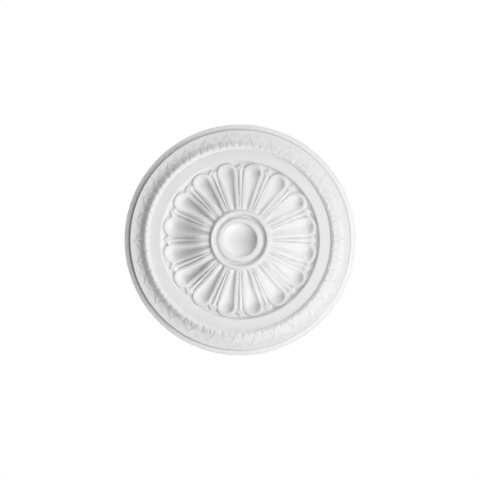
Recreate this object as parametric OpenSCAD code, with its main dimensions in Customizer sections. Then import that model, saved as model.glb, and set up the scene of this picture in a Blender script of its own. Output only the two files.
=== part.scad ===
// Ceiling rose: one light casting, fixed flat against a ceiling.
// The origin is in the middle of the back, on the ceiling plane, and +Z points up into the ceiling.
// The shape is worked out face up, with heights counted from the back, and turned face down at the end.

/* [Overall] */
// Diameter over the outer edge
rose_d = 400; // [370:1:480]
// Drop from the ceiling to the crown of the tall bead
rose_h = 45; // [37.5:0.5:54]
// Thickness of the outer edge where it meets the ceiling
edge_t = 5; // [3:0.5:7]

/* [Back] */
// Width of the flat land that is glued to the ceiling
land_w = 24; // [16:1:34]
// Depth of the shallow hollow in the back
hollow_t = 6; // [3:0.5:7]
// Diameter of the flat pad in the middle of the back
pad_d = 100; // [80:1:140]

/* [Centre boss] */
// Width of each of the two beads
bead_w = 8.2; // [6:0.1:10]
// Width of the groove between the beads
groove_w = 6.9; // [5:0.1:9]
// Depth of the groove below the tall bead
groove_t = 7.3; // [6:0.1:9]
// How far the low bead stands below the tall one
bead_drop = 3.9; // [2:0.1:5]
// Diameter of the dish inside the low bead
dish_d = 58.4; // [48:0.2:66]
// Depth of the dish below the crown of the tall bead
dish_t = 19; // [15:0.5:20]

/* [Petals] */
// Number of petals, and of the darts between them
petal_count = 16; // [14:1:18]
// Gap between two petals at their round ends
petal_gap = 10.8; // [8:0.2:14]
// Gap between two petals at their roots
root_gap = 3; // [2:0.1:4]
// Width of the rim round a petal's scoop
rim_w = 5.8; // [4:0.1:6.2]
// How far the petals run out from the tall bead before they sweep down
root_run = 9; // [4:0.5:16]
// Depth of the scoop below the petal's rim
scoop_t = 5.4; // [3:0.2:6]
// How far the roots lie below the crown of the tall bead
root_drop = 3.7; // [2.5:0.1:6]
// Height of the petal's rim at its lowest
valley_z = 16.4; // [15.6:0.1:20]
// How far the petal's end curls up again
curl_h = 1.8; // [0:0.1:4]
// Gap between the petals' ends and the foot of the flat ring
tip_gap = 1.6; // [1:0.1:4]

/* [Darts] */
// How much wider a dart is than the gap that it fills, so that its eaves run into the petals
dart_lap = 2.4; // [1.5:0.1:3]
// How far the dart's ridge rises over the petals' rims
dart_rise = 1.8; // [0:0.1:3]
// Fall from the dart's ridge to its eaves
dart_fall = 3.2; // [2:0.1:4]
// How far a dart's shoulders lie outside the centres of the petals' round ends
shoulder_run = 7; // [5:0.2:9]
// Length of a dart's point, past its shoulders
dart_point = 7; // [4:0.2:8]

/* [Dished floor and flat ring] */
// Height of the floor round the petals' ends
floor_z = 13.5; // [12:0.1:14]
// Width of the slope from the floor up to the flat ring
wall_w = 3.6; // [2.5:0.1:6]
// Width of the flat ring
ring_w = 18; // [12:0.5:22]
// Height of the flat ring
ring_z = 23.1; // [20:0.1:25]

/* [Leafed moulding] */
// Width of the rise from the flat ring to the lip
lip_w = 4; // [3:0.1:6]
// Height of the lip
lip_z = 27.2; // [25.5:0.1:30]
// Width of the crown of the lip
crown_w = 1.8; // [1:0.1:3]
// Width of the hollow slope under the leaves
cyma_w = 16; // [14:0.5:18]
// Number of leaves
leaf_count = 30; // [24:1:33]
// Turn of the ring of leaves against the darts, in degrees
leaf_turn = 0.75; // [0:0.05:6]
// Gap between two leaves
leaf_gap = 3.4; // [2:0.1:6]
// How far a leaf stands over the moulding
leaf_t = 1.8; // [1.4:0.1:2.4]
// Width of the slit in a leaf, at the lip
slit_w = 14; // [10:0.5:16]
// How far the tips of the leaves behind stand over the moulding
back_leaf_t = 0.9; // [0.7:0.1:1.1]

/* [Outer margin] */
// Width of the flat band outside the leaves
band_w = 10.6; // [9:0.1:14]
// Height of the flat band at its inner side
band_z = 15; // [13:0.1:17]
// Fall of the flat band towards its outer side
band_fall = 0.7; // [0:0.1:1]
// Width of the step down from the band
step_w = 3.6; // [2.5:0.1:5]
// Height at the foot of the step
step_z = 8.2; // [7.2:0.1:9]
// Width of the sloping margin outside the step
margin_w = 6.6; // [5:0.1:8]

/* [Hidden] */
plaster = [0.9, 0.9, 0.89];

// Radii of the mouldings, counted in from the edge.
rose_r = rose_d / 2;
step_foot_r = rose_r - margin_w;
band_out_r = step_foot_r - step_w;
band_in_r = band_out_r - band_w;
crown_out_r = band_in_r - cyma_w;
crown_in_r = crown_out_r - crown_w;
ring_out_r = crown_in_r - lip_w;
ring_in_r = ring_out_r - ring_w;
wall_foot_r = ring_in_r - wall_w;

// Radii and heights of the boss, counted out from the axis and down from the crown.
dish_r = dish_d / 2;
low_bead_r = dish_r + bead_w / 2;
tall_bead_r = low_bead_r + bead_w + groove_w;
groove_z = rose_h - groove_t;
dish_z = rose_h - dish_t;
low_bead_z = rose_h - bead_drop - bead_w / 2;
tall_bead_z = rose_h - bead_w / 2;
// The dish is part of a ball that runs into the low bead at mid height.
dish_rise = low_bead_z - dish_z;
ball_r = (dish_r * dish_r + dish_rise * dish_rise) / (2 * dish_rise);

// The petals and darts start inside the tall bead, sweep down from just outside it and end at tip_r.
root_r = tall_bead_r;
root_z = rose_h - root_drop;
// The core of the boss reaches this far past the roots, so that they start inside it.
core_lap = 1.5;
core_r = root_r + core_lap;
sweep_r = tall_bead_r + bead_w / 2 + root_run;
tip_r = wall_foot_r - tip_gap;
// The round ends are half circles about head_r: what the gaps leave of the pitch there is their width.
half_pitch = 180 / petal_count;
head_r = (tip_r + petal_gap / 2) / (1 + sin(half_pitch));
petal_w = 2 * (tip_r - head_r);
petal_root_w = 2 * root_r * sin(half_pitch) - root_gap;
shoulder_r = head_r + shoulder_run;

// The leaves end half-way across the flat band.
leaf_tip_r = band_in_r + band_w / 2;
leaf_w = 2 * PI * crown_out_r / leaf_count - leaf_gap;

// Relief is carried down to this height, between the hollow and the lowest of the carving.
base_z = (hollow_t + min(floor_z, valley_z - scoop_t)) / 2;
// Roots of the leaves start this far inside the crown of the lip, and this deep under it.
bury = 1.5;
dive_run = 3 * bury;

// Shares that shape the carving.
scoop_root_share = 0.3; // depth of the scoop at its root
scoop_full_run = 12; // distance past sweep_r where the scoop is at its full depth
scoop_power = 2.5; // a round bottom with steep sides
scoop_shares = [0.5, 0.83, 1]; // shares of the scoop's width where its section has a point
rim_fall_share = 0.12; // fall of the rim to the petal's outline
eaves_rise_share = 0.7; // how far the dart's eaves close up to its ridge at the shoulders
eaves_power = 4; // the eaves close up late
slit_share = 0.7; // length of the slit in a leaf
slit_floor_share = 0.25; // height of the slit's feet
slit_ridge_share = 0.5; // height of the ridge along the slit
slit_lip = 1; // width of the slope from the slit's feet to the leaf
slit_point = 1.6; // length of that slope at the slit's point
slit_ridge_end = 2.4; // distance from the ridge's end to the slit's
taper_share = 0.42; // where a leaf starts to narrow
leaf_step_power = 0.7; // steps along a leaf's side, closer towards its point
back_leaf_share = 0.4; // where the leaves behind start, across the slope
back_leaf_neck = 5.6; // width of a leaf behind where it starts
back_leaf_w = 15.2; // width of a leaf behind at its widest
back_leaf_swell = 0.5; // where it is widest, along its length

// Steps in which curves are drawn.
fine = 96;
wall_steps = 6;
cyma_steps = 12;
tail_steps = 7;
head_steps = 4;
dart_steps = 6;
leaf_steps = 6;
back_leaf_steps = 4;

function ease(t) = let (s = min(max(t, 0), 1)) s * s * (3 - 2 * s);
function mix(a, b, t) = a + (b - a) * t;
function flip(points) = [for (i = [len(points) - 1:-1:0]) points[i]];

// A ring: one side of a symmetrical shape, its tip, and the other side in reverse.
function ring(side, tip) = concat(side, [tip], [for (p = flip(side)) [p[0], -p[1], p[2]]]);

// Points on a smooth step between two places of the profile, without its first point.
function step_points(a, b, n) = [for (i = [1:n]) [mix(a[0], b[0], i / n), mix(a[1], b[1], ease(i / n))]];

// Relief tile: rings of points run round a spine, each from one side of the root, round the tip and back.
// The last ring is carried down to the base, where a heel point under the root closes the tile.
module tile(spine, rings) {
    count = len(rings[0]);
    last = len(spine) - 1;
    base = [for (p = rings[len(rings) - 1]) [p[0], p[1], base_z]];
    rows = concat(rings, [base]);
    points = concat(spine, [for (row = rows) each row], [[spine[0][0], 0, base_z]]);
    heel = len(points) - 1;
    bottom = len(rows) - 1;
    function at(row, k) = last + 1 + row * count + k;
    function spine_at(k) = min(k, last, count - 1 - k);
    root_end = concat(
        [for (row = [bottom:-1:0]) at(row, count - 1)],
        [0],
        [for (row = [0:bottom]) at(row, 0)]
    );
    steps = [0:count - 2];
    faces = concat(
        [for (k = steps) [at(0, k), spine_at(k), at(0, k + 1)]],
        [for (k = steps) if (spine_at(k) != spine_at(k + 1)) [at(0, k + 1), spine_at(k), spine_at(k + 1)]],
        [for (row = [1:bottom], k = steps) [at(row - 1, k), at(row - 1, k + 1), at(row, k + 1)]],
        [for (row = [1:bottom], k = steps) [at(row - 1, k), at(row, k + 1), at(row, k)]],
        [for (k = steps) [heel, at(bottom, k), at(bottom, k + 1)]],
        [for (i = [1:len(root_end) - 1]) [heel, root_end[i - 1], root_end[i]]]
    );
    polyhedron(points = points, faces = faces, convexity = 6);
}

// Section of the body from the axis outwards and back along the ceiling, without its dish and beads.
module body_profile() {
    polygon(concat(
        [[0, 0], [0, groove_z], [core_r, groove_z], [core_r, floor_z], [wall_foot_r, floor_z]],
        step_points([wall_foot_r, floor_z], [ring_in_r, ring_z], wall_steps),
        [[ring_out_r, ring_z]],
        step_points([ring_out_r, ring_z], [crown_in_r, lip_z], wall_steps),
        [[crown_out_r, lip_z]],
        step_points([crown_out_r, lip_z], [band_in_r, band_z], cyma_steps),
        [[band_out_r, band_z - band_fall]],
        step_points([band_out_r, band_z - band_fall], [step_foot_r, step_z], wall_steps),
        [[rose_r, edge_t], [rose_r, 0], [rose_r - land_w, 0], [rose_r - land_w, hollow_t]],
        [[pad_d / 2, hollow_t], [pad_d / 2, 0]]
    ));
}

// The turned body: mouldings, boss with its dish and beads, and the hollowed back.
module body() {
    rotate_extrude($fn = fine) {
        difference() {
            body_profile();
            translate([0, dish_z + ball_r])
                circle(r = ball_r, $fn = fine);
        }
        translate([low_bead_r, low_bead_z])
            circle(d = bead_w, $fn = fine);
        translate([tall_bead_r, tall_bead_z])
            circle(d = bead_w, $fn = fine);
    }
}

// Height of the petals' rims at a distance from the axis, and depth of the scoop below it.
function rim_z(r) = mix(root_z, valley_z, ease((r - sweep_r) / (head_r - sweep_r)))
    + curl_h * ease((r - head_r) / (tip_r - head_r));
function scoop_depth(r) =
    scoop_t * mix(scoop_root_share, 1, ease((r - root_r) / (sweep_r + scoop_full_run - root_r)));

// Ring round a petal between a root width and an end width, sunk by a share of the scoop's depth.
function petal_ring(root_w, end_w, share) =
    let (
        tail = [for (i = [0:tail_steps - 1]) let (t = i / tail_steps)
            [mix(root_r, head_r, t), -mix(root_w, end_w, t) / 2]],
        head = [for (i = [0:head_steps - 1]) let (a = 90 * (i / head_steps - 1))
            [head_r + end_w / 2 * cos(a), end_w / 2 * sin(a)]],
        lifted = [for (p = concat(tail, head, [[head_r + end_w / 2, 0]]))
            [p[0], p[1], rim_z(norm(p)) - share * scoop_depth(norm(p))]],
        last = len(lifted) - 1
    )
    ring([for (i = [0:last - 1]) lifted[i]], lifted[last]);

// Ring inside the scoop, at a share of its width.
function scoop_ring(share) =
    petal_ring(
        (petal_root_w - 2 * rim_w) * share,
        (petal_w - 2 * rim_w) * share,
        1 - pow(share, scoop_power)
    );

// A petal: a scoop with a raised rim, swept back towards the ceiling and curled up at its round end.
module petal() {
    spine = [for (i = [0:tail_steps]) let (x = mix(root_r, head_r, i / tail_steps))
        [x, 0, rim_z(x) - scoop_depth(x)]];
    outline = petal_ring(petal_root_w, petal_w, rim_fall_share);
    tile(spine, concat([for (share = scoop_shares) scoop_ring(share)], [outline]));
}

// A dart: a ridge that fills the gap between two petals and ends in a point.
module dart() {
    function ridge_z(t) = rim_z(mix(root_r, shoulder_r, t)) + dart_rise * sin(180 * t);
    stations = [for (i = [0:dart_steps]) i / dart_steps];
    spine = [for (t = stations) [mix(root_r, shoulder_r, t), 0, ridge_z(t)]];
    function half_w(t) = (mix(root_gap, petal_gap, t) + dart_lap) / 2;
    function eaves_z(t) = ridge_z(t) - dart_fall * (1 - eaves_rise_share * pow(t, eaves_power));
    eaves = [for (t = stations) [mix(root_r, shoulder_r, t), -half_w(t), eaves_z(t)]];
    tile(spine, [ring(eaves, [shoulder_r + dart_point, 0, (ridge_z(1) + eaves_z(1)) / 2])]);
}

// Point on the hollow slope at a radius and a distance to the side, raised over the slope.
// Inside the crown of the lip it dives under the crown instead.
function slope_point(r, side, rise) =
    let (
        a = side / r * 180 / PI,
        slope_z = mix(lip_z, band_z, ease((r - crown_out_r) / cyma_w)),
        sink = bury * (1 - ease((r - crown_out_r + bury) / dive_run))
    )
    [r * cos(a), r * sin(a), slope_z + rise - sink - rise * sink / bury];

// A leaf: a pointed plate over the slope with a slit that is widest at the lip and ridged inside.
module leaf() {
    root = crown_out_r - bury;
    slit_tip = mix(root, leaf_tip_r, slit_share);
    shares = [for (i = [0:leaf_steps]) i / leaf_steps];
    sides = [for (i = [0:leaf_steps - 1]) i / leaf_steps];
    function slit_ring(w, tip, rise) = ring(
        [for (t = sides) slope_point(mix(root, tip, t), -w / 2 * (1 - t), rise)],
        slope_point(tip, 0, rise)
    );
    // The outline is straight-sided, then narrows to a point in an ogee.
    function half_w(t) = leaf_w / 2 * (1 - ease((t - taper_share) / (1 - taper_share)));
    ridge_tip = slit_tip - slit_ridge_end;
    spine = [for (t = shares) slope_point(mix(root, ridge_tip, t), 0, slit_ridge_share * leaf_t)];
    foot = slit_ring(slit_w, slit_tip, slit_floor_share * leaf_t);
    edge = slit_ring(slit_w + 2 * slit_lip, slit_tip + slit_point, leaf_t);
    outline = ring(
        [for (t = sides) let (s = pow(t, leaf_step_power)) slope_point(mix(root, leaf_tip_r, s), -half_w(s), leaf_t)],
        slope_point(leaf_tip_r, 0, leaf_t)
    );
    tile(spine, [foot, edge, outline]);
}

// The tip of a leaf of the row behind, which shows between two leaves.
module back_leaf() {
    root = mix(crown_out_r, band_in_r, back_leaf_share);
    n = back_leaf_steps;
    function w(t) = t < back_leaf_swell
        ? mix(back_leaf_neck, back_leaf_w, ease(t / back_leaf_swell))
        : back_leaf_w * (1 - t) / (1 - back_leaf_swell);
    spine = [for (i = [0:n]) slope_point(mix(root, leaf_tip_r - slit_ridge_end, i / n), 0, back_leaf_t)];
    outline = ring(
        [for (i = [0:n - 1]) slope_point(mix(root, leaf_tip_r, i / n), -w(i / n) / 2, back_leaf_t / 2)],
        slope_point(leaf_tip_r, 0, back_leaf_t / 2)
    );
    tile(spine, [outline]);
}

// Copies of a part, evenly round the axis.
module around(count, turn) {
    for (i = [0:count - 1])
        rotate([0, 0, turn + i * 360 / count])
            children();
}

module rose() {
    color(plaster)
        rotate([180, 0, 0])
            union() {
                body();
                around(petal_count, 180 / petal_count)
                    petal();
                around(petal_count, 0)
                    dart();
                around(leaf_count, leaf_turn)
                    leaf();
                around(leaf_count, leaf_turn + 180 / leaf_count)
                    back_leaf();
            }
}

rose();
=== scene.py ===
"""Looks of the ceiling rose: one moulded casting, carved on its face and plain on its back.

The face is a height field over the ceiling plane, worked out in millimetres as (x, y, height), face up.
The finished mesh is turned face down, scaled to metres and stands for the CAD solid of the rose.
"""
import math

import bpy
import numpy as np
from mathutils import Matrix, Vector


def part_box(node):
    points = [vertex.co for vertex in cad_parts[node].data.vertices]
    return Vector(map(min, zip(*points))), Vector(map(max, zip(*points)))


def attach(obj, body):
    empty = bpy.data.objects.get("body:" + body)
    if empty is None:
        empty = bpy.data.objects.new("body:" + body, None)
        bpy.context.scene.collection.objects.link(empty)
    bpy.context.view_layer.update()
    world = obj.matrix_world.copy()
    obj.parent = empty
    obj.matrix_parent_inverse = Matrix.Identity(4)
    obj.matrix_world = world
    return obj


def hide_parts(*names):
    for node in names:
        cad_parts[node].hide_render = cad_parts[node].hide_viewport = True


MM = 0.001  # a millimetre in Blender's metres

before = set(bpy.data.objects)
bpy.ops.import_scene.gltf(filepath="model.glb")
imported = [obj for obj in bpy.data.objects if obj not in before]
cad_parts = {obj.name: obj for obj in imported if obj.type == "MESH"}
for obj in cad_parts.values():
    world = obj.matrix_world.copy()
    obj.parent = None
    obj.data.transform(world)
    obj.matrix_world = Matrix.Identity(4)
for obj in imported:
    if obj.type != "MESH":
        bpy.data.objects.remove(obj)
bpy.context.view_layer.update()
rose_low, rose_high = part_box("rose")

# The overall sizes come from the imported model.
ROSE_R = rose_high[0] / MM
ROSE_H = -rose_low[2] / MM

# Radii and widths of the mouldings, counted in from the edge.
STEP_FOOT_R = ROSE_R - 6.8
BAND_OUT_R = STEP_FOOT_R - 3.6
BAND_IN_R = ROSE_R - 20.8
CROWN_OUT_R = BAND_IN_R - 16.0
CROWN_IN_R = CROWN_OUT_R - 3.4
RING_OUT_R = CROWN_IN_R - 2.9
RING_IN_R = RING_OUT_R - 17.9
WALL_FOOT_R = ROSE_R - 64.2
COVE_R = RING_IN_R - 7.6
COVE_WALL_R = RING_IN_R - 5.3
COVE_WALL_W = 4.4
HOLLOW_W = 11.4
HOLLOW_TAIL_W = 18.5

# Heights of the mouldings over the ceiling plane, and the shapes of the cove and the lip.
FLOOR_Z = 13.5
RING_Z = 22.3
LIP_Z = 25.6
HOLLOW_FALL = 5.0
BAND_Z = 16.8
BAND_OUT_Z = 16.6
STEP_Z = 7.8
EDGE_T = 6.6
COVE_WALL_SHARE = 0.75
LIP_POWER = 1.8

# Centre boss: a dish inside two beads, with a groove between them.
BEAD_R = 4.1
BEAD_FOOT = 5.6
LOW_BEAD_POWER = 6.0
TALL_BEAD_POWER = 2.8
TALL_BEAD_OUTER_FOOT = 4.8
TALL_BEAD_INNER_FALL = 9.6
TALL_BEAD_OUTER_FALL = 7.2
LOW_BEAD_R = 33.5
TALL_BEAD_R = 48.4
GROOVE_Z = ROSE_H - 7.4
GROOVE_SLOPE = 0.5
DISH_Z = ROSE_H - 19.0
DISH_CURVE = 0.014
DISH_FLARE = 6.0e-11
DISH_EDGE_Z = ROSE_H - 11.0
LOW_BEAD_Z = ROSE_H - 3.9
DISH_TOP_Z = LOW_BEAD_Z - 2.0
CORE_R = TALL_BEAD_R + 1.5
BOSS_REACH_R = CORE_R + 12.0

# Petals: a scoop in a rounded rim, swept back to the ceiling and curled up at the round end.
PETAL_COUNT = 16
PITCH = 2 * math.pi / PETAL_COUNT
ROOT_R = TALL_BEAD_R
ROOT_Z = ROSE_H - 6.2
SWEEP_R = TALL_BEAD_R + BEAD_R + 9.0
TIP_R = WALL_FOOT_R - 1.6
PETAL_GAP = 10.8
HEAD_R = (TIP_R + PETAL_GAP / 2) / (1 + math.sin(PITCH / 2))
PETAL_END = TIP_R - HEAD_R
PETAL_ROOT = 8.0
RIM_W = 5.8
VALLEY_Z = 16.4
CURL_H = 1.8
SCOOP_T = 5.4
SCOOP_ROOT_SHARE = 0.5
SCOOP_GROW_L = 20.0
SCOOP_EDGE = 0.22
SCOOP_EDGE_POWER = 10
RIM_INNER_FALL = 0.5
RIM_OUTER_FALL = 1.3
RIM_OUTER_POWER = 5.0
RIM_FALL_SPARE = 1.0

# Darts: a roof between two petals that ends in a flat point.
DART_RISE = 2.0
DART_GROOVE = 2.3
DART_HALF_ANGLE = math.radians(2.1)
SHOULDER_R = HEAD_R + 7.2
SHOULDER_HALF_W = 7.2
DART_TIP_R = SHOULDER_R + 6.8
DART_END_Z = 16.6
DART_END_SPARE = 0.3
DART_CUT_SLOPE = 3.0

# Along a dart's run from 0 to 1: how its roof swells, its groove deepens from the root and its ridge ends.
DART_SWELL_RATE = 1.6
DART_ROOT_SHARE = 0.5
DART_ROOT_RATE = 4.0
DART_RIDGE_END = 0.9
DART_RIDGE_EASE = 0.12

# Leaves over the hollow moulding, with the tips of a second row behind them.
LEAF_COUNT = 30
LEAF_TURN = math.radians(0.75)
LEAF_T = 1.7
LEAF_TIP_T = 0.5
LEAF_HALF_ANGLE = math.radians(5.3)
LEAF_NARROWS_R = CROWN_OUT_R + 8.0
LEAF_TIP_R = BAND_IN_R + 5.3
LEAF_OGEE_POWER = 0.9
LEAF_CROWN = 0.15
LEAF_START_R = CROWN_IN_R - 1.0
LEAF_GROW_L = 4.0
SLIT_TIP_R = CROWN_OUT_R + 14.4
SLIT_HALF_W = 6.8
SLIT_W = 2.0
SLIT_DEPTH = 1.4
BACK_LEAF_T = 0.3
BACK_LEAF_DOME = 0.2
BACK_LEAF_TIP_R = LEAF_TIP_R + 0.6
BACK_LEAF_WIDE_R = BAND_IN_R - 1.5
BACK_LEAF_HALF_W = 8.4
BACK_LEAF_NECK = 2.6
BACK_LEAF_NECK_R = CROWN_OUT_R + 6.0
BACK_LEAF_DOME_L = 8.0

# Slope of the carved edges, as rise over run, and the sizes of the fillets where surfaces meet.
STEEP = 2.2
SOFT = 0.7
CRISP = 0.35

# Back: a flat land that is glued on, a shallow hollow with sloped walls and a pad in the middle.
LAND_W = 24.0
BACK_HOLLOW_T = 6.0
BACK_WALL_W = 1.5
PAD_R = 50.0

# A height that stands for no surface, below everything that is carved.
NO_SURFACE = -99.0


def ease(t):
    """A smooth step from 0 to 1."""
    s = np.clip(t, 0, 1)
    return s * s * (3 - 2 * s)


def share(r, start, end):
    """How far r has come from start to end, from 0 to 1."""
    return np.clip((r - start) / (end - start), 0, 1)


def mix(a, b, t):
    """The value at share t of the way from a to b."""
    return a + (b - a) * t


def smooth_max(a, b, soft):
    """The higher of two surfaces, with a fillet where they cross."""
    near = np.maximum(soft - np.abs(a - b), 0) / soft
    return np.maximum(a, b) + near * near * soft / 4


def smooth_min(a, b, soft):
    """The lower of two surfaces, with a fillet where they cross."""
    return -smooth_max(-a, -b, soft)


def sector(x, y, count, turn):
    """Radius, angle off the nearest of count axes, and distances along and off that axis."""
    pitch = 2 * math.pi / count
    angle = np.arctan2(y, x) - turn
    off = angle - pitch * np.round(angle / pitch)
    r = np.hypot(x, y)
    return r, off, r * np.cos(off), np.abs(r * np.sin(off))


def capsule(x, y, x1, r1, x2, r2):
    """Signed distance to the hull of two circles on the axis, and the share of the way between them."""
    length = x2 - x1
    lean = (r1 - r2) / length
    across = math.sqrt(1 - lean * lean)
    px = y
    py = x - x1
    k = -lean * px + across * py
    side = across * px + lean * py - r1
    first = np.hypot(px, py) - r1
    last = np.hypot(px, py - length) - r2
    distance = np.where(k < 0, first, np.where(k > across * length, last, side))
    return distance, np.clip(k / (across * length), 0, 1)


def bead(r, centre_r, crown_z, fall, power, foot=BEAD_FOOT):
    """A bead with a broad crown and steep sides, which has fallen that far at its feet."""
    return crown_z - fall * (np.abs(r - centre_r) / foot) ** power


def boss(r):
    """Dish, two beads and the groove between them, on a core that ends under the tall bead."""
    dish = DISH_Z + DISH_CURVE * r**2 / 2 + DISH_FLARE * r**8 / 8
    inner = np.where(r < LOW_BEAD_R, np.minimum(dish, DISH_TOP_Z), NO_SURFACE)
    tilt = GROOVE_Z - GROOVE_SLOPE * (r - LOW_BEAD_R - BEAD_FOOT)
    groove = np.where((r > LOW_BEAD_R) & (r < CORE_R), tilt, NO_SURFACE)
    low_fall = np.where(r < LOW_BEAD_R, LOW_BEAD_Z - DISH_EDGE_Z, LOW_BEAD_Z - GROOVE_Z)
    low_bead = bead(r, LOW_BEAD_R, LOW_BEAD_Z, low_fall, LOW_BEAD_POWER)
    z = smooth_max(smooth_max(inner, low_bead, CRISP), groove, CRISP)
    tall_fall = np.where(r < TALL_BEAD_R, TALL_BEAD_INNER_FALL, TALL_BEAD_OUTER_FALL)
    foot = np.where(r < TALL_BEAD_R, BEAD_FOOT, TALL_BEAD_OUTER_FOOT)
    tall_bead = bead(r, TALL_BEAD_R, ROSE_H, tall_fall, TALL_BEAD_POWER, foot)
    return smooth_max(z, tall_bead, CRISP)


def moulding(r):
    """Floor, cove, flat ring, lip, hollow slope, band, step and margin."""
    wall = ease((r - COVE_WALL_R) / COVE_WALL_W)
    cove = FLOOR_Z + (RING_Z - FLOOR_Z) * mix(share(r, COVE_R, RING_IN_R), wall, COVE_WALL_SHARE)
    lip = (LIP_Z - RING_Z) * (1 - (1 - share(r, RING_OUT_R, CROWN_IN_R)) ** LIP_POWER)
    hollow = -HOLLOW_FALL * ease((r - CROWN_OUT_R) / HOLLOW_W)
    tail = (BAND_Z + HOLLOW_FALL - LIP_Z) * ease((r - CROWN_OUT_R) / HOLLOW_TAIL_W)
    band = (BAND_OUT_Z - BAND_Z) * share(r, BAND_IN_R, BAND_OUT_R)
    step = (STEP_Z - BAND_OUT_Z) * ease(share(r, BAND_OUT_R, STEP_FOOT_R))
    margin = (EDGE_T - STEP_Z) * share(r, STEP_FOOT_R, ROSE_R)
    return cove + lip + hollow + tail + band + step + margin


def rim_height(r):
    """Crest of the petals' rims."""
    sweep = mix(ROOT_Z, VALLEY_Z, ease(share(r, SWEEP_R, HEAD_R)))
    return sweep + CURL_H * ease(share(r, HEAD_R, TIP_R))


def scoop_depth(r):
    """Depth of the scoops under the rims, which grows out from the boss."""
    return SCOOP_T * mix(SCOOP_ROOT_SHARE, 1, ease((r - ROOT_R - BEAD_R) / SCOOP_GROW_L))


def petals(x, y):
    """Height of the petals, and the distance out from the crest of the nearest petal's rim."""
    r, _, along, side = sector(x, y, PETAL_COUNT, PITCH / 2)
    half_rim = RIM_W / 2
    to_crest, _ = capsule(along, side, ROOT_R, PETAL_ROOT - half_rim, HEAD_R, PETAL_END - half_rim)
    to_scoop, run = capsule(along, side, ROOT_R, PETAL_ROOT - RIM_W, HEAD_R, PETAL_END - RIM_W)
    out = to_crest / half_rim
    fall = np.where(
        out > 0,
        RIM_OUTER_FALL * np.maximum(out, 0) ** RIM_OUTER_POWER,
        RIM_INNER_FALL * np.minimum(out * out, 1),
    )
    rim = rim_height(r) - np.minimum(fall, STEEP * np.abs(to_crest) + RIM_FALL_SPARE)
    half_scoop = mix(PETAL_ROOT - RIM_W, PETAL_END - RIM_W, run)
    place = np.maximum(1 + to_scoop / half_scoop, 0)
    depth = scoop_depth(r) - RIM_INNER_FALL
    bowl = mix(place**2, place**SCOOP_EDGE_POWER, SCOOP_EDGE)
    scoop = rim_height(r) - RIM_INNER_FALL - depth * (1 - bowl)
    return smooth_min(rim, scoop, CRISP), to_crest


def darts(x, y, from_crest):
    """Height of the roofs between the petals."""
    r, _, along, side = sector(x, y, PETAL_COUNT, 0)
    run = (r - ROOT_R) / (SHOULDER_R - ROOT_R)
    arch = DART_RISE * np.sin(math.pi * np.clip(run, 0, 1)) * ease(run * DART_SWELL_RATE)
    flat = ease((run - DART_RIDGE_END) / DART_RIDGE_EASE)
    ridge = mix(rim_height(np.minimum(r, SHOULDER_R)) + arch, DART_END_Z, flat)
    groove = DART_GROOVE * mix(DART_ROOT_SHARE, 1, ease(run * DART_ROOT_RATE))
    half_width = np.maximum(r, ROOT_R) * math.tan(DART_HALF_ANGLE)
    roof = ridge - (arch + groove) * (1 - flat) * side / half_width
    across = DART_TIP_R - SHOULDER_R
    past_edge = (along - DART_TIP_R) * SHOULDER_HALF_W + side * across
    past_edge = past_edge / math.hypot(SHOULDER_HALF_W, across)
    pointed = smooth_min(roof, DART_END_Z + DART_END_SPARE - STEEP * past_edge, CRISP)
    return pointed - DART_CUT_SLOPE * np.maximum(-from_crest, 0)


def leaf_distance(side, half_width, r, step=0.2):
    """Distance across the outline of a leaf whose half width depends on the radius."""
    slope = (half_width(r + step) - half_width(r - step)) / (2 * step)
    return (side - half_width(r)) / np.sqrt(1 + slope * slope)


def leaf_half_width(r):
    """Straight sides, then an ogee to the tip."""
    return r * LEAF_HALF_ANGLE * (1 - ease(share(r, LEAF_NARROWS_R, LEAF_TIP_R)) ** LEAF_OGEE_POWER)


def back_leaf_half_width(r):
    """A neck between the leaves in front, a swelling and a tip."""
    swell = mix(BACK_LEAF_NECK, BACK_LEAF_HALF_W, ease(share(r, BACK_LEAF_NECK_R, BACK_LEAF_WIDE_R)))
    tip = BACK_LEAF_HALF_W * (BACK_LEAF_TIP_R - r) / (BACK_LEAF_TIP_R - BACK_LEAF_WIDE_R)
    return np.minimum(swell, tip)


def leaves(x, y, ground):
    """Height of the front leaves over the ground, each with an A-shaped slit that opens to the lip."""
    r, off, _, _ = sector(x, y, LEAF_COUNT, LEAF_TURN)
    side = np.abs(off) * r
    grown = ease((r - LEAF_START_R) / LEAF_GROW_L)
    past_edge = leaf_distance(side, leaf_half_width, r)
    crown = LEAF_CROWN * (1 - (side / np.maximum(leaf_half_width(r), 1)) ** 2)
    thick = mix(LEAF_T, LEAF_TIP_T, share(r, CROWN_OUT_R, LEAF_TIP_R))
    plate = ground + (thick + np.maximum(crown, 0)) * grown
    lean = SLIT_HALF_W / (SLIT_TIP_R - CROWN_IN_R)
    past_slit = (side - lean * (SLIT_TIP_R - r)) / math.hypot(1, lean)
    slit = SLIT_DEPTH * np.maximum(1 - np.abs(past_slit) / (SLIT_W / 2), 0) * grown
    return smooth_min(plate - slit, ground + thick - STEEP * past_edge, CRISP)


def back_leaves(x, y, ground):
    """Height of the tips that show between the front leaves."""
    r, off, _, _ = sector(x, y, LEAF_COUNT, LEAF_TURN + math.pi / LEAF_COUNT)
    side = np.abs(off) * r
    past_edge = leaf_distance(side, back_leaf_half_width, r)
    dome = BACK_LEAF_DOME * (1 - (side / np.maximum(back_leaf_half_width(r), 1)) ** 2)
    plate = ground + BACK_LEAF_T + np.maximum(dome, 0) * ease((BACK_LEAF_TIP_R - r) / BACK_LEAF_DOME_L)
    return smooth_min(plate, ground + BACK_LEAF_T - STEEP * past_edge, CRISP)


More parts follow.
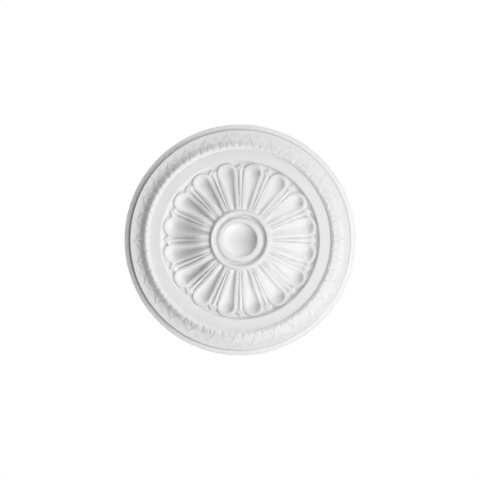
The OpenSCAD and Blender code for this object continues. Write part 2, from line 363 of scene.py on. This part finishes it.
def height(x, y):
    """Height of the carved face over the ceiling plane."""
    r = np.hypot(x, y)
    ground = moulding(r)
    petal, from_crest = petals(x, y)
    in_petal = (r < HEAD_R + PETAL_END) & (from_crest < 0)
    z = np.where(in_petal, NO_SURFACE, ground)
    rosette = smooth_max(petal, darts(x, y, from_crest), CRISP)
    rosette = np.where((r > ROOT_R) & (r < RING_IN_R), rosette, NO_SURFACE)
    z = smooth_max(z, rosette, SOFT)
    z = smooth_max(z, np.where(r < BOSS_REACH_R, boss(r), NO_SURFACE), CRISP)
    relief = smooth_max(leaves(x, y, ground), back_leaves(x, y, ground), CRISP)
    relief = np.where((r > LEAF_START_R) & (r < BAND_OUT_R), relief, NO_SURFACE)
    return np.minimum(smooth_max(z, relief, CRISP), ROSE_H)


def face_normals(points, step=0.12):
    """Normals of the height field at points, from its slopes."""
    x, y = points[:, 0], points[:, 1]
    slope_x = (height(x + step, y) - height(x - step, y)) / (2 * step)
    slope_y = (height(x, y + step) - height(x, y - step)) / (2 * step)
    normals = np.stack([-slope_x, -slope_y, np.ones_like(x)], axis=1)
    return normals / np.linalg.norm(normals, axis=1, keepdims=True)


# Zones of the dense grid that the face is sampled on: outer radius, spacing of rings, columns.
PETAL_MIDDLE_R = 92.0
ZONES = (
    (CORE_R + 1.1, 0.55, 180),
    (PETAL_MIDDLE_R, 0.45, 1080),
    (RING_IN_R + 0.6, 0.45, 2160),
    (RING_OUT_R - 1.0, 1.5, 720),
    (CROWN_IN_R - 1.4, 0.35, 720),
    (BAND_OUT_R - 1.0, 0.4, 2880),
)

# About how many triangles the thinned face keeps, and the columns and rows of the rings outside it.
FACE_TRIANGLES = 158_000
BACK_COLUMNS = 360
STEP_ROWS = 11

# Near the edge: where the margin's own rings lie, and where the face's normals and the back's walls end.
MARGIN_START = 0.6
EDGE_HOLD = 1.5
FACE_END_R = ROSE_R - 1.3
EDGE_WALL_R = ROSE_R - 1.0


def dense_face():
    """Points and faces of the dense grid, from the centre out to the band."""
    radii, counts = [], []
    start = 0.0
    for end, spacing, columns in ZONES:
        rows = max(int(round((end - start) / spacing)), 1)
        radii += list(np.linspace(start, end, rows + 1)[1:])
        counts += [columns] * rows
        start = end
    rings = []
    for r, n in zip(radii, counts):
        angle = np.arange(n) * 2 * math.pi / n
        rings.append(np.stack([r * np.cos(angle), r * np.sin(angle)], axis=1))
    flat = np.vstack([np.zeros((1, 2))] + rings)
    points = np.column_stack([flat, height(flat[:, 0], flat[:, 1])])
    first = np.cumsum([1] + counts)
    faces = [(0, 1 + k, 1 + (k + 1) % counts[0]) for k in range(counts[0])]
    for row in range(1, len(counts)):
        faces += strip(first[row - 1], counts[row - 1], first[row], counts[row])
    return points, faces


def strip(inner, inner_count, outer, outer_count):
    """Faces between two rings, where one has as many columns as the other or a whole multiple."""
    if inner_count == outer_count:
        k = np.arange(inner_count)
        after = (k + 1) % inner_count
        return np.stack([inner + k, outer + k, outer + after, inner + after], axis=1).tolist()
    coarse = min(inner_count, outer_count)
    faces = []
    for k in range(coarse):
        inside = fan(inner, inner_count, k, coarse)
        outside = fan(outer, outer_count, k, coarse)
        faces.append(outside + inside[::-1])
    return faces


def fan(first, count, k, coarse):
    """Points of a ring from one coarse column to the next."""
    columns = count // coarse
    return [int(first + (k * columns + i) % count) for i in range(columns + 1)]


def thinned(points, faces, triangles):
    """The same surface with about that many triangles, placed by its shape everywhere but on the boss."""
    mesh = bpy.data.meshes.new("dense")
    mesh.from_pydata(points.tolist(), [], faces)
    piece = bpy.data.objects.new("dense", mesh)
    bpy.context.scene.collection.objects.link(piece)
    dense_triangles = sum(len(face) - 2 for face in faces)
    thin = piece.modifiers.new("thin", "DECIMATE")
    thin.ratio = triangles / dense_triangles
    beyond_boss = np.flatnonzero(np.hypot(points[:, 0], points[:, 1]) > ZONES[0][0])
    piece.vertex_groups.new(name="may_thin").add(beyond_boss.tolist(), 1.0, "REPLACE")
    thin.vertex_group = "may_thin"
    thin.use_collapse_triangulate = True
    result = piece.evaluated_get(bpy.context.evaluated_depsgraph_get()).to_mesh()
    result.calc_loop_triangles()
    out_points = np.empty(len(result.vertices) * 3)
    result.vertices.foreach_get("co", out_points)
    out_faces = np.empty(len(result.loop_triangles) * 3, dtype=np.int32)
    result.loop_triangles.foreach_get("vertices", out_faces)
    bpy.data.objects.remove(piece)
    bpy.data.meshes.remove(mesh)
    return out_points.reshape(-1, 3), out_faces.reshape(-1, 3)


def boundary(points, faces):
    """Points of the open outer edge, in order of their angle."""
    edges = np.vstack([faces[:, [0, 1]], faces[:, [1, 2]], faces[:, [2, 0]]])
    unique, count = np.unique(np.sort(edges, axis=1), axis=0, return_counts=True)
    loop = np.unique(unique[count == 1])
    angle = np.arctan2(points[loop, 1], points[loop, 0]) % (2 * math.pi)
    order = np.argsort(angle)
    return loop[order], angle[order]


def zipper(inner, inner_angle, outer, outer_angle):
    """Triangles between two closed rings whose points lie at different angles."""
    turn = 2 * math.pi
    a = np.append(inner_angle, inner_angle[0] + turn)
    b = np.append(outer_angle, outer_angle[0] + turn)
    i = j = 0
    faces = []
    while i < len(inner) or j < len(outer):
        at_a, at_b = inner[i % len(inner)], outer[j % len(outer)]
        if j == len(outer) or (i < len(inner) and a[i + 1] <= b[j + 1]):
            faces.append((at_a, at_b, inner[(i + 1) % len(inner)]))
            i += 1
        else:
            faces.append((at_a, at_b, outer[(j + 1) % len(outer)]))
            j += 1
    return faces


def rounded(points, cuts, steps=4):
    """A polyline with each corner between its ends rounded off, from a cut before it to a cut after it."""
    out = [points[0]]
    for before, corner, after, cut in zip(points, points[1:], points[2:], cuts):
        c = Vector(corner)
        a = c + (Vector(before) - c).normalized() * cut
        b = c + (Vector(after) - c).normalized() * cut
        for k in range(steps + 1):
            t = k / steps
            out.append(tuple(a.lerp(c, t).lerp(c.lerp(b, t), t)))
    out.append(points[-1])
    return out


def moulding_point(r):
    """Radius and height of the mouldings at one radius."""
    return r, float(moulding(np.array(r)))


def outer_profile():
    """Radius and height down the step and the margin, round the edge and along the back to the centre."""
    step_rows = [moulding_point(r) for r in np.linspace(BAND_OUT_R, STEP_FOOT_R, STEP_ROWS)]
    land_r = ROSE_R - LAND_W
    corners = [
        moulding_point(STEP_FOOT_R + MARGIN_START),
        moulding_point(ROSE_R - EDGE_HOLD),
        (ROSE_R, EDGE_T),
        (ROSE_R, 0.0),
        (land_r, 0.0),
        (land_r - BACK_WALL_W, BACK_HOLLOW_T),
        (PAD_R + BACK_WALL_W, BACK_HOLLOW_T),
        (PAD_R, 0.0),
        (PAD_R / 2, 0.0),
    ]
    cuts = (0.1, 0.9, 0.6, 0.8, 1.6, 1.6, 0.8)
    return step_rows + rounded(corners, cuts)


def ring_points(r, z, angle):
    """Points of a ring at one radius and height."""
    return np.column_stack([r * np.cos(angle), r * np.sin(angle), np.full(len(angle), z)])


def casting():
    """Points and triangles of the whole casting, closed, face up in millimetres."""
    points, faces = thinned(*dense_face(), FACE_TRIANGLES)
    loop, angle = boundary(points, faces)
    edge_r = ZONES[-1][0]
    points[loop, 0] = edge_r * np.cos(angle)
    points[loop, 1] = edge_r * np.sin(angle)
    triangles = [faces]
    stack = [points]
    total = len(points)
    columns = np.arange(BACK_COLUMNS)
    ring_angle = columns * 2 * math.pi / BACK_COLUMNS
    ring, ring_at = loop, angle
    for r, z in outer_profile():
        new = total + columns
        stack.append(ring_points(r, z, ring_angle))
        triangles.append(np.array(zipper(ring, ring_at, new, ring_angle)))
        ring, ring_at = new, ring_angle
        total += BACK_COLUMNS
    stack.append(np.zeros((1, 3)))
    triangles.append(np.column_stack([ring, np.full(BACK_COLUMNS, total), np.roll(ring, -1)]))
    return np.vstack(stack), np.vstack(triangles)


def triangle_normals(points, triangles):
    """Unit normals of the triangles."""
    corner = points[triangles]
    facing = np.cross(corner[:, 1] - corner[:, 0], corner[:, 2] - corner[:, 0])
    return facing / np.maximum(np.linalg.norm(facing, axis=1, keepdims=True), 1e-9)


def build_rose(front, back, level=0.1):
    """The casting as one closed mesh, with the face's own normals and a material for each side.

    A triangle faces front or back if its normal rises or falls by more than level. The rest are walls, and
    those inside the edge belong to the back.
    """
    points, triangles = casting()
    facing = triangle_normals(points, triangles)
    reach = np.hypot(points[:, 0], points[:, 1])[triangles].max(axis=1)
    is_face = (facing[:, 2] > level) & (reach < FACE_END_R)
    is_wall = (np.abs(facing[:, 2]) <= level) & (reach < EDGE_WALL_R)
    is_back = (facing[:, 2] < -level) | is_wall
    turned = np.array([1, -1, -1])
    mesh = bpy.data.meshes.new("rose_casting")
    mesh.from_pydata((points * turned * MM).tolist(), [], triangles.tolist())
    mesh.materials.append(front)
    mesh.materials.append(back)
    mesh.polygons.foreach_set("material_index", is_back.astype(np.int32))
    mesh.update()
    mesh.shade_smooth()
    mark_sharp(mesh, facing, triangles)
    normals = np.zeros((len(triangles), 3, 3))
    vertex_normals = face_normals(points) * turned
    normals[is_face] = vertex_normals[triangles[is_face]]
    mesh.normals_split_custom_set(normals.reshape(-1, 3).tolist())
    piece = bpy.data.objects.new("rose_casting", mesh)
    bpy.context.scene.collection.objects.link(piece)
    return piece


def mark_sharp(mesh, facing, triangles, limit=math.radians(38)):
    """Edges between faces that meet at more than the limit shade as corners."""
    edge_faces = {}
    for index, (a, b, c) in enumerate(triangles.tolist()):
        for pair in ((a, b), (b, c), (c, a)):
            edge_faces.setdefault(tuple(sorted(pair)), []).append(index)
    cosine = math.cos(limit)
    sharp = []
    for edge in mesh.edges:
        one, other = edge_faces[tuple(sorted(edge.vertices))]
        sharp.append(float(facing[one] @ facing[other]) < cosine)
    layer = mesh.attributes.new("sharp_edge", "BOOLEAN", "EDGE")
    layer.data.foreach_set("value", sharp)


# Noises of the materials: scales per metre, depths of the bumps in metres, and how much they change
# the colour and the roughness.
CLOUD_SCALE = 14.0
CLOUD_SHARE = 0.75
FLECK_SCALE = 900.0
FLECK_SHARE = 0.35
SKIN_SCALE = 2600.0
SKIN_DEPTH = 0.00006
DIMPLE_SCALE = 160.0
DIMPLE_DEPTH = 0.0002
SHEEN_BELOW = 0.05
SHEEN_ABOVE = 0.06


def node(tree, kind, **inputs):
    """A shader node with some of its inputs set; an underscore stands for a space in an input's name."""
    made = tree.nodes.new(kind)
    for name, value in inputs.items():
        made.inputs[name.replace("_", " ")].default_value = value
    return made


def noise(tree, place, scale, detail, roughness):
    """A noise over the object's own coordinates."""
    made = node(tree, "ShaderNodeTexNoise", Scale=scale, Detail=detail, Roughness=roughness)
    tree.links.new(place, made.inputs["Vector"])
    return made.outputs["Fac"]


def ramp(tree, source, low, high):
    """A noise's middle range stretched between two numbers."""
    made = node(tree, "ShaderNodeMapRange", From_Min=0.3, From_Max=0.7, To_Min=low, To_Max=high)
    tree.links.new(source, made.inputs["Value"])
    return made.outputs["Result"]


def bump(tree, height_map, strength, depth, under=None):
    """The normal after a bump, on top of another bump's normal if there is one."""
    made = node(tree, "ShaderNodeBump", Strength=strength, Distance=depth)
    tree.links.new(height_map, made.inputs["Height"])
    if under:
        tree.links.new(under, made.inputs["Normal"])
    return made.outputs["Normal"]


def clouded(tree, clouds, flecks, colour, shade):
    """A colour that drifts towards its shade in clouds and flecks."""
    blend = tree.nodes.new("ShaderNodeMath")
    blend.operation = "MULTIPLY_ADD"
    blend.inputs[1].default_value = FLECK_SHARE
    tree.links.new(flecks, blend.inputs[0])
    tree.links.new(ramp(tree, clouds, 0.0, CLOUD_SHARE), blend.inputs[2])
    tint = tree.nodes.new("ShaderNodeMix")
    tint.data_type = "RGBA"
    tint.inputs["A"].default_value = (*shade, 1)
    tint.inputs["B"].default_value = (*colour, 1)
    tree.links.new(blend.outputs[0], tint.inputs["Factor"])
    return tint.outputs["Result"]


def moulded_white(name, colour, shade, roughness, grain, pits):
    """Matt white moulding: faint clouding of the colour, uneven sheen, a fine grain and shallow dimples."""
    material = bpy.data.materials.new(name)
    material.use_nodes = True
    tree = material.node_tree
    tree.nodes.clear()
    out = tree.nodes.new("ShaderNodeOutputMaterial")
    shader = tree.nodes.new("ShaderNodeBsdfPrincipled")
    place = tree.nodes.new("ShaderNodeTexCoord").outputs["Object"]
    clouds = noise(tree, place, CLOUD_SCALE, detail=4.0, roughness=0.55)
    flecks = noise(tree, place, FLECK_SCALE, detail=3.0, roughness=0.6)
    skin = noise(tree, place, SKIN_SCALE, detail=3.0, roughness=0.55)
    dimples = noise(tree, place, DIMPLE_SCALE, detail=2.0, roughness=0.5)
    sheen = ramp(tree, clouds, roughness - SHEEN_BELOW, roughness + SHEEN_ABOVE)
    relief = bump(tree, dimples, pits, DIMPLE_DEPTH, bump(tree, skin, grain, SKIN_DEPTH))
    tree.links.new(clouded(tree, clouds, flecks, colour, shade), shader.inputs["Base Color"])
    tree.links.new(sheen, shader.inputs["Roughness"])
    tree.links.new(relief, shader.inputs["Normal"])
    tree.links.new(shader.outputs["BSDF"], out.inputs["Surface"])
    return material


def painted_face():
    """Matt white paint over the carved face."""
    white, shade = (0.78, 0.78, 0.775), (0.74, 0.74, 0.735)
    return moulded_white("painted_face", white, shade, roughness=0.55, grain=0.25, pits=0.10)


def raw_back():
    """The bare casting, greyer and rougher than the face."""
    white, shade = (0.74, 0.735, 0.72), (0.66, 0.655, 0.635)
    return moulded_white("raw_back", white, shade, roughness=0.7, grain=0.6, pits=0.6)


# Camera and floor in metres, but the sensor in millimetres: the view is so far that it is nearly parallel.
VIEW_DISTANCE = 7.0
FRAME_WIDTH = 0.8326
SENSOR = 36.0
FLOOR_GAP = 0.4
FLOOR_HALF_W = 6.0

# Soft lights aimed at the rose: name, place, size and power. The picture's right is +X and its top is -Y.
LIGHTS = (
    ("key", (2.2, 0.5, -2.5), (1.8, 2.4), 80),
    ("front", (0.75, 0.25, -3.8), (0.9, 0.9), 30),
    ("low", (0.2, 2.8, -1.1), (2.4, 1.0), 36),
    ("high", (0.1, -2.8, -1.1), (2.4, 1.0), 37),
    ("back", (0.8, -0.9, 2.2), (1.6, 1.6), 62),
)
AMBIENT = 0.05


def plain_floor():
    """A wide pale floor under the camera."""
    outline = ((-1, -1), (1, -1), (1, 1), (-1, 1))
    corners = [(FLOOR_HALF_W * x, FLOOR_HALF_W * y, -VIEW_DISTANCE - FLOOR_GAP) for x, y in outline]
    mesh = bpy.data.meshes.new("floor")
    mesh.from_pydata(corners, [], [(0, 1, 2, 3)])
    material = bpy.data.materials.new("floor")
    material.use_nodes = True
    shader = material.node_tree.nodes["Principled BSDF"]
    shader.inputs["Base Color"].default_value = (0.8, 0.8, 0.79, 1)
    shader.inputs["Roughness"].default_value = 0.9
    mesh.materials.append(material)
    floor = bpy.data.objects.new("floor", mesh)
    bpy.context.scene.collection.objects.link(floor)


def camera():
    """Straight below the rose and looking up, with the world's +X to the right."""
    data = bpy.data.cameras.new("camera")
    data.sensor_width = SENSOR
    data.lens = SENSOR * VIEW_DISTANCE / FRAME_WIDTH
    view = bpy.data.objects.new("camera", data)
    view.location = (0, 0, -VIEW_DISTANCE)
    view.rotation_euler = (math.pi, 0, 0)
    bpy.context.scene.collection.objects.link(view)
    bpy.context.scene.camera = view


def area_light(name, place, size, power):
    """A soft rectangular light aimed at the origin."""
    data = bpy.data.lights.new(name, "AREA")
    data.shape = "RECTANGLE"
    data.size, data.size_y = size
    data.energy = power
    light = bpy.data.objects.new(name, data)
    light.location = place
    light.rotation_euler = (-Vector(place)).to_track_quat("-Z", "Y").to_euler()
    bpy.context.scene.collection.objects.link(light)


def surroundings():
    """A world that looks white to the camera and lights the rose only a little."""
    world = bpy.data.worlds.new("studio")
    world.use_nodes = True
    tree = world.node_tree
    tree.nodes.clear()
    out = tree.nodes.new("ShaderNodeOutputWorld")
    seen = node(tree, "ShaderNodeBackground", Color=(1, 1, 1, 1), Strength=1.0)
    dim = node(tree, "ShaderNodeBackground", Color=(1, 1, 1, 1), Strength=AMBIENT)
    path = tree.nodes.new("ShaderNodeLightPath")
    pick = tree.nodes.new("ShaderNodeMixShader")
    tree.links.new(path.outputs["Is Camera Ray"], pick.inputs["Fac"])
    tree.links.new(dim.outputs[0], pick.inputs[1])
    tree.links.new(seen.outputs[0], pick.inputs[2])
    tree.links.new(pick.outputs[0], out.inputs["Surface"])
    bpy.context.scene.world = world


def studio():
    """The floor, the camera, the white surroundings and the lights."""
    bpy.context.scene.view_settings.view_transform = "Standard"
    plain_floor()
    camera()
    surroundings()
    for light in LIGHTS:
        area_light(*light)


rose = build_rose(painted_face(), raw_back())
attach(rose, "root")
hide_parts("rose")
studio()
